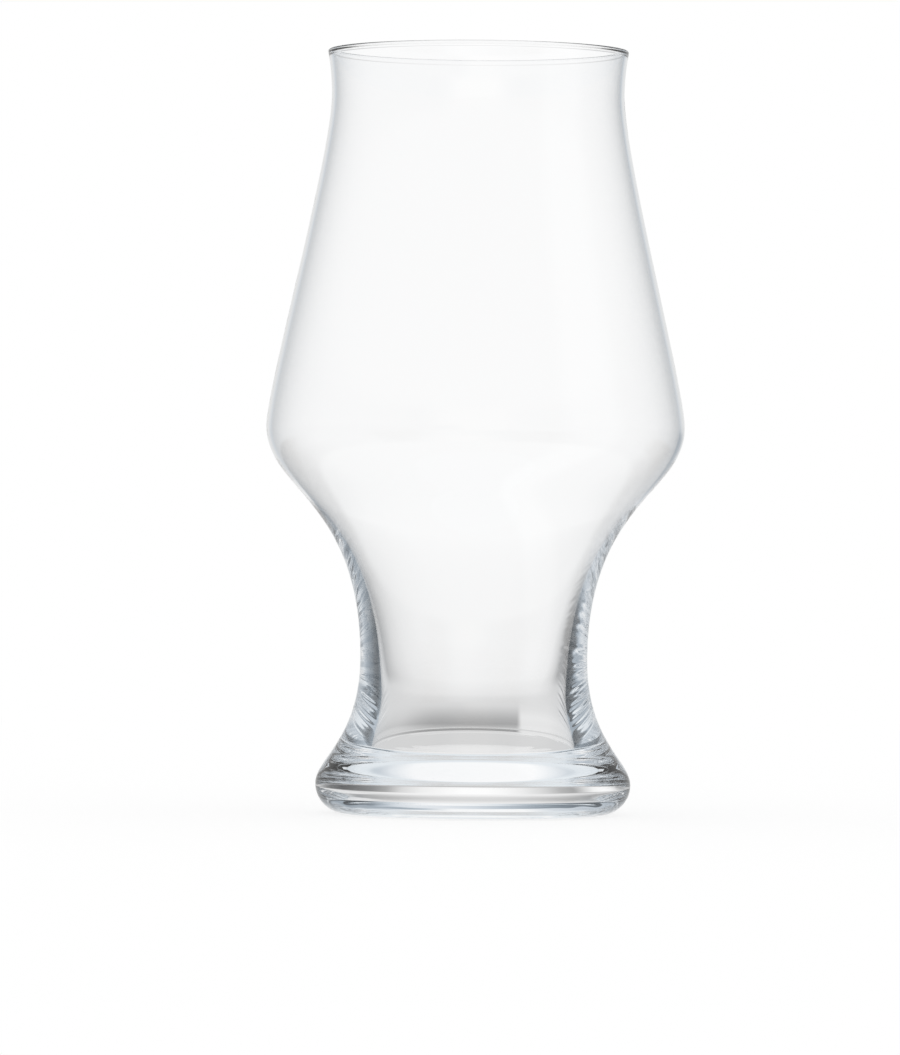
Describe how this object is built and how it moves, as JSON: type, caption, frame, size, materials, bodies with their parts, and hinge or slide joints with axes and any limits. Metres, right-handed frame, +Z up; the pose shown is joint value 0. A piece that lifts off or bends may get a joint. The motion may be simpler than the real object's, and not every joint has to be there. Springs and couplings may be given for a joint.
{
  "type": "tulip beer glass",
  "caption": "Clear tulip beer glass with a wide shouldered bowl, a narrow flared neck, a thick waisted hollow stem and a heavy round foot.",
  "frame": {"origin": "on the axis of the glass, in the plane of the ring it stands on", "axes": "+Z up along the axis; the glass is round, so X and Y are any two square directions"},
  "size_m": [0.0932, 0.0932, 0.17],
  "materials": {
    "clear_glass": "polished, clear, with a faint cool tint where it is thick"
  },
  "bodies": {
    "root": {"bowl": "clear_glass", "stem": "clear_glass", "foot": "clear_glass"}
  },
  "joints": []
}
